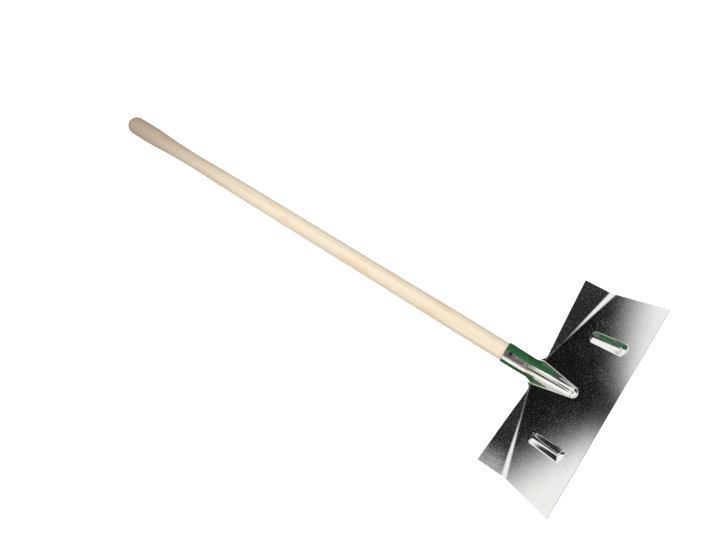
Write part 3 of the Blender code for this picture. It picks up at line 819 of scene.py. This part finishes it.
def ash_wood():
    """Pale ash: long rings, fibres and pores along the grain, peach blotches, darker towards the bulb."""
    material, nodes, shader = new_material("ash_wood")
    rings = nodes.add("ShaderNodeTexWave", wave_type="RINGS", rings_direction="Y", wave_profile="SAW")
    nodes.link(nodes.object_coordinates((1.0, 0.05, 1.0), (0.030, 0.0, 0.016)), rings.inputs["Vector"])
    rings.inputs["Scale"].default_value = 48.0
    rings.inputs["Distortion"].default_value = 3.0
    rings.inputs["Detail"].default_value = 2.0
    rings.inputs["Detail Scale"].default_value = 0.6
    fibres = nodes.noise(nodes.object_coordinates((1.0, 0.02, 1.0)), 900.0, 3.0, 0.6)
    pores = nodes.noise(nodes.object_coordinates((1.0, 0.06, 1.0)), 1500.0, 2.0, 0.5)
    blotch = nodes.noise(nodes.object_coordinates((1.0, 0.22, 1.0), (0.3, 0.1, 0.7)), 60.0, 3.0, 0.6)
    color = nodes.mix_color(nodes.ramp(rings.outputs["Fac"], 0.2, 1.0), *WOOD_RING_COLORS)
    color = nodes.mix_color(nodes.ramp(fibres, 0.35, 0.7, 0.0, 0.7), color, WOOD_FIBRE_COLOR)
    color = nodes.mix_color(nodes.ramp(pores, 0.62, 0.72, 0.0, 0.25), color, WOOD_PORE_COLOR)
    color = nodes.mix_color(nodes.ramp(blotch, 0.50, 0.68, 0.0, 0.60), color, WOOD_BLOTCH_COLOR)
    split = nodes.add("ShaderNodeSeparateXYZ")
    nodes.link(nodes.object_coordinates(), split.inputs[0])
    # The colour gets darker towards the bulb
    towards_bulb = nodes.ramp(split.outputs["Y"], WOOD_DARKENING_START, WOOD_DARKENING_END, 0.0, WOOD_DARKENING_SHARE)
    color = nodes.mix_color(towards_bulb, color, WOOD_BULB_END_COLOR)
    nodes.link(color, shader.inputs["Base Color"])
    nodes.link(nodes.ramp(fibres, 0.3, 0.7, 0.50, 0.62), shader.inputs["Roughness"])
    shader.inputs["Specular IOR Level"].default_value = WOOD_SPECULAR
    nodes.link(nodes.bump(pores, 0.10, 0.0003), shader.inputs["Normal"])
    return material


def blackened_steel():
    material, nodes, shader = new_material("screw_steel")
    grain = nodes.noise(nodes.object_coordinates(), 1200.0, 3.0, 0.6)
    color = nodes.mix_color(nodes.ramp(grain, 0.3, 0.7), *SCREW_BLACKS)
    nodes.link(color, shader.inputs["Base Color"])
    shader.inputs["Metallic"].default_value = 0.6
    nodes.link(nodes.ramp(grain, 0.3, 0.7, 0.35, 0.5), shader.inputs["Roughness"])
    return material


def floor_paint():
    material, nodes, shader = new_material("studio_floor")
    tone = nodes.noise(nodes.object_coordinates(), 3.0, 2.0, 0.5)
    color = nodes.mix_color(nodes.ramp(tone, 0.3, 0.7), *FLOOR_WHITES)
    nodes.link(color, shader.inputs["Base Color"])
    nodes.link(color, shader.inputs["Emission Color"])
    shader.inputs["Emission Strength"].default_value = FLOOR_GLOW
    shader.inputs["Roughness"].default_value = 0.8
    shader.inputs["Specular IOR Level"].default_value = 0.1
    return material


# ---------------------------------------------------------------- studio


def build_floor(lowest):
    half = FLOOR_HALF_SIZE
    corners = [(-half, -half, 0), (half, -half, 0), (half, half, 0), (-half, half, 0)]
    floor = add_mesh("studio_floor", corners, [(0, 1, 2, 3)], Matrix.Translation((0, 0, lowest)))
    floor.data.materials.append(floor_paint())
    floor.visible_glossy = False
    floor.visible_diffuse = False


def outside_share(way, azimuth, elevation, half_width, half_height, softness):
    """How far each direction is out of an opening: 0 inside it and 1 outside, over its soft edge."""
    azimuth, elevation = math.radians(azimuth), math.radians(elevation)
    level = np.array((math.sin(azimuth), -math.cos(azimuth), 0.0))
    right = np.array((math.cos(azimuth), math.sin(azimuth), 0.0))
    middle = level * math.cos(elevation) + (0, 0, math.sin(elevation))
    above = (0, 0, math.cos(elevation)) - level * math.sin(elevation)
    sideways = np.degrees(np.arcsin(np.clip(way @ right, -1, 1))) / half_width
    upward = np.degrees(np.arctan2(way @ above, way @ middle)) / half_height
    return smoothstep((np.hypot(sideways, upward) - 1 + softness) / (2 * softness))


def tent_color(way):
    """Light of the tent in each direction: white walls, with the dark openings in them."""
    glow = np.full(len(way), TENT_LIGHT)
    for *opening, light in TENT_OPENINGS:
        glow = mix(light, glow, outside_share(way, *opening))
    right = smoothstep(way[:, 0] / 2 + 0.5)[:, None]
    return (glow + TENT_DARK)[:, None] * mix(np.array(TENT_LEFT_TINT), TENT_RIGHT_TINT, right)


def glow_paint(name):
    material = bpy.data.materials.new(name)
    material.use_nodes = True
    material.node_tree.nodes.clear()
    nodes = Nodes(material.node_tree)
    emission = nodes.add("ShaderNodeEmission")
    nodes.link(nodes.attribute("glow", "Color"), emission.inputs["Color"])
    nodes.link(emission.outputs[0], nodes.add("ShaderNodeOutputMaterial").inputs[0])
    return material


def build_glowing_sphere(name, centre, radius, light_of):
    """Sphere that glows as light_of says for each direction from its middle. It adds no diffuse light and
    casts no shadow."""
    elevations = np.radians(np.arange(-90, 91, SPHERE_STEP))[:, None]
    azimuths = np.radians(np.arange(0, 360, SPHERE_STEP))[None, :]
    x = np.sin(azimuths) * np.cos(elevations)
    y = -np.cos(azimuths) * np.cos(elevations)
    way = np.stack([x, y, np.sin(elevations) + 0 * azimuths], axis=-1).reshape(-1, 3)
    faces = grid_faces(elevations.size, azimuths.size, closed=True)
    sphere = add_mesh(name, way * radius + centre, faces, Matrix.Identity(4))
    colors = np.concatenate([light_of(way), np.ones((len(way), 1))], axis=1)
    glow = sphere.data.attributes.new("glow", "FLOAT_COLOR", "POINT")
    glow.data.foreach_set("color", colors.astype(np.float32).ravel())
    sphere.data.materials.append(glow_paint(name))
    sphere.visible_diffuse = False
    sphere.visible_transmission = False
    sphere.visible_shadow = False
    return sphere


def build_tent_and_backdrop(lowest):
    """The tent shows only in reflections, and the white backdrop only to the camera."""
    tent = build_glowing_sphere("studio_tent", TENT_CENTRE, TENT_RADIUS, tent_color)
    tent.visible_camera = False
    backdrop = build_glowing_sphere("studio_backdrop", (0.0, 0.0, lowest), BACKDROP_RADIUS, np.ones_like)
    backdrop.visible_glossy = False


def add_soft_light():
    """Large square light from above, left out of reflections."""
    light = bpy.data.lights.new("soft_light", "AREA")
    light.shape = "SQUARE"
    light.size = SOFT_LIGHT_SIZE
    light.energy = SOFT_LIGHT_POWER
    lamp = bpy.data.objects.new("soft_light", light)
    lamp.location = SOFT_LIGHT_POSITION
    direction = Vector(SOFT_LIGHT_AIM) - Vector(SOFT_LIGHT_POSITION)
    lamp.rotation_euler = direction.to_track_quat("-Z", "Y").to_euler()
    lamp.visible_camera = False
    lamp.visible_glossy = False
    bpy.context.scene.collection.objects.link(lamp)


def studio_world():
    """Even light from every side, a little stronger from below the horizon than from above it."""
    world = bpy.data.worlds.new("studio")
    world.use_nodes = True
    nodes = Nodes(world.node_tree)
    background = world.node_tree.nodes["Background"]
    background.inputs["Color"].default_value = (1.0, 1.0, 1.0, 1.0)
    split = nodes.add("ShaderNodeSeparateXYZ")
    nodes.link(nodes.add("ShaderNodeTexCoord").outputs["Generated"], split.inputs[0])
    light = nodes.ramp(split.outputs["Z"], -HORIZON_FADE, HORIZON_FADE, GROUND_LIGHT, DAYLIGHT)
    nodes.link(light, background.inputs["Strength"])
    bpy.context.scene.world = world


def build_studio(lowest):
    build_floor(lowest)
    build_tent_and_backdrop(lowest)
    studio_world()
    add_soft_light()
    bpy.context.scene.view_settings.view_transform = "Standard"


def add_camera():
    data = bpy.data.cameras.new("camera")
    data.lens = CAMERA_LENS
    data.sensor_width = CAMERA_SENSOR_WIDTH
    data.shift_x, data.shift_y = CAMERA_SHIFT
    camera = bpy.data.objects.new("camera", data)
    camera.location = CAMERA_POSITION
    camera.rotation_euler = [math.radians(angle) for angle in CAMERA_ROTATION]
    bpy.context.scene.collection.objects.link(camera)
    bpy.context.scene.camera = camera


# ---------------------------------------------------------------- scene


for obj in list(bpy.data.objects):
    bpy.data.objects.remove(obj, do_unlink=True)

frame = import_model()
cad_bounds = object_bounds()
place = blade_frame(frame["record"])

build_blade(place, blade_steel())
build_socket(place, socket_enamel())
build_weld(place, weld_steel())
build_handle(place, ash_wood())
screw = frame["nodes"]["handle_screw"]
screw.data.materials.clear()
screw.data.materials.append(blackened_steel())

build_studio(cad_bounds[0].z)
add_camera()
